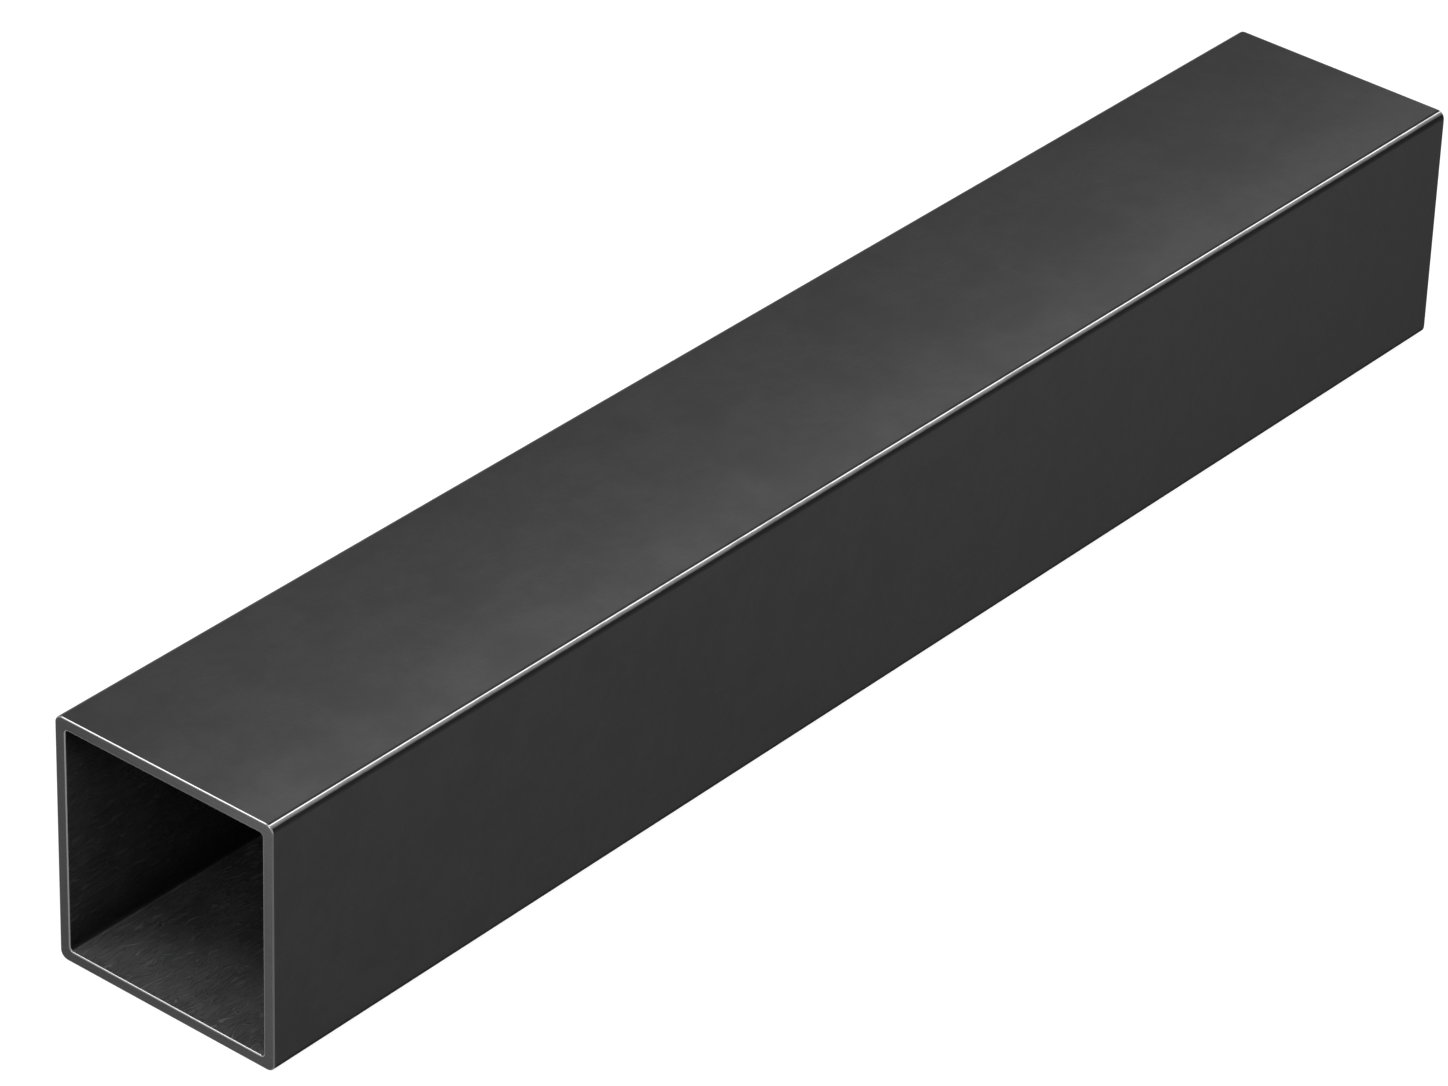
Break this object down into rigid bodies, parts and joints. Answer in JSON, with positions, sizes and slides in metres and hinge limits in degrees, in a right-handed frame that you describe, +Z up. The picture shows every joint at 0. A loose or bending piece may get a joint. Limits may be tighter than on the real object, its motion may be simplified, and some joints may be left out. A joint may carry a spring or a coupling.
{
  "type": "square metal tube",
  "caption": "Cut length of square hollow section with rounded corners and open, square-sawn, deburred ends.",
  "frame": {"origin": "middle of the face that the tube lies on", "axes": "+X along the length, towards the right end; +Z up; -Y is the front face"},
  "size_m": [0.5, 0.075, 0.075],
  "materials": {
    "coated_steel": "satin"
  },
  "bodies": {
    "root": {"square_tube": "coated_steel"}
  },
  "joints": []
}
